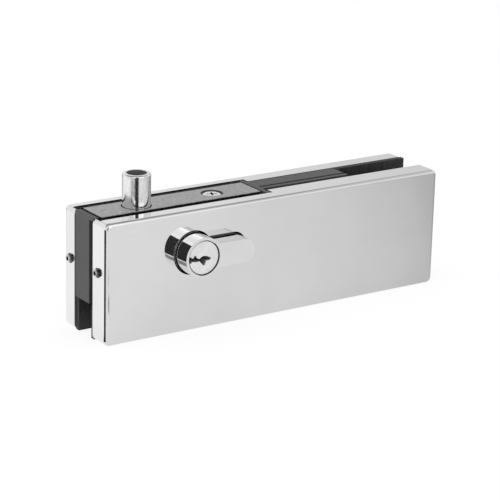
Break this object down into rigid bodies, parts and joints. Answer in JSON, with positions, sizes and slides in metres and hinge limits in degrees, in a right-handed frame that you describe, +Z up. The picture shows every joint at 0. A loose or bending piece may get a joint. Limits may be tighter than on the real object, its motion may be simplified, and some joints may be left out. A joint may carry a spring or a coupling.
{
  "type": "floor lock patch fitting",
  "caption": "Two-sided glass door corner patch with polished covers, key cylinder and a tubular bolt that the key slides.",
  "frame": {"origin": "middle of the length and thickness, on the surface the covers stand on", "axes": "+X along the fitting away from the bolt end, +Y through its thickness towards the rear cover, +Z up, the way the bolt is thrown"},
  "size_m": [0.1678, 0.0496, 0.065],
  "materials": {
    "polished_cover": "mirror-polished stainless steel sheet",
    "cast_clamp": "die-cast aluminium, dark grey",
    "gasket_rubber": "dull black sheet",
    "cast_case": "dark grey casting",
    "case_plate": "rolled steel plate",
    "brushed_plate": "brushed stainless steel",
    "zinc_tube": "zinc-plated steel tube",
    "zinc_steel": "zinc-plated steel",
    "spring_steel": "spring steel, oiled",
    "chromed_brass": "chromed brass, bright",
    "plug_brass": "nickel-plated brass",
    "screw_steel": "bright steel",
    "dark_screw": "blackened steel"
  },
  "bodies": {
    "fitting": {"front_cover": "polished_cover", "rear_cover": "polished_cover", "front_clamp": "cast_clamp", "rear_clamp": "cast_clamp", "front_gasket": "gasket_rubber", "rear_gasket": "gasket_rubber", "lock_case": "cast_case", "case_cover": "case_plate", "faceplate": "brushed_plate", "bolt_spring": "spring_steel", "cylinder_housing": "chromed_brass", "clamp_screws": "dark_screw", "clamp_inserts": "zinc_steel", "case_screws": "screw_steel", "cover_grub_screws": "screw_steel", "cylinder_screw": "screw_steel"},
    "bolt": {"bolt_tube": "zinc_tube", "bolt_carriage": "zinc_steel", "bolt_pin": "zinc_steel"},
    "front_key_plug": {"front_plug": "plug_brass", "cylinder_cam": "zinc_steel", "cam_clutch": "zinc_steel", "front_circlip": "spring_steel"},
    "rear_key_plug": {"rear_plug": "plug_brass", "rear_circlip": "spring_steel"}
  },
  "joints": [
    {"name": "front_key_turn", "type": "hinge", "parent": "fitting", "child": "front_key_plug", "pos_m": [-0.0418, 0, 0.0333], "axis": [0, -1, 0], "range_deg": [0, 67.4]},
    {"name": "bolt_slide", "type": "slide", "parent": "fitting", "child": "bolt", "axis": [0, 0, -1], "range_m": [0, 0.014]},
    {"name": "rear_key_turn", "type": "hinge", "parent": "fitting", "child": "rear_key_plug", "pos_m": [-0.0418, 0, 0.0333], "axis": [0, -1, 0], "range_deg": [0, 67.4]}
  ],
  "couplings": [
    {"joint": "bolt_slide", "follows": "front_key_turn", "m_per_rad": 0.011884}
  ]
}
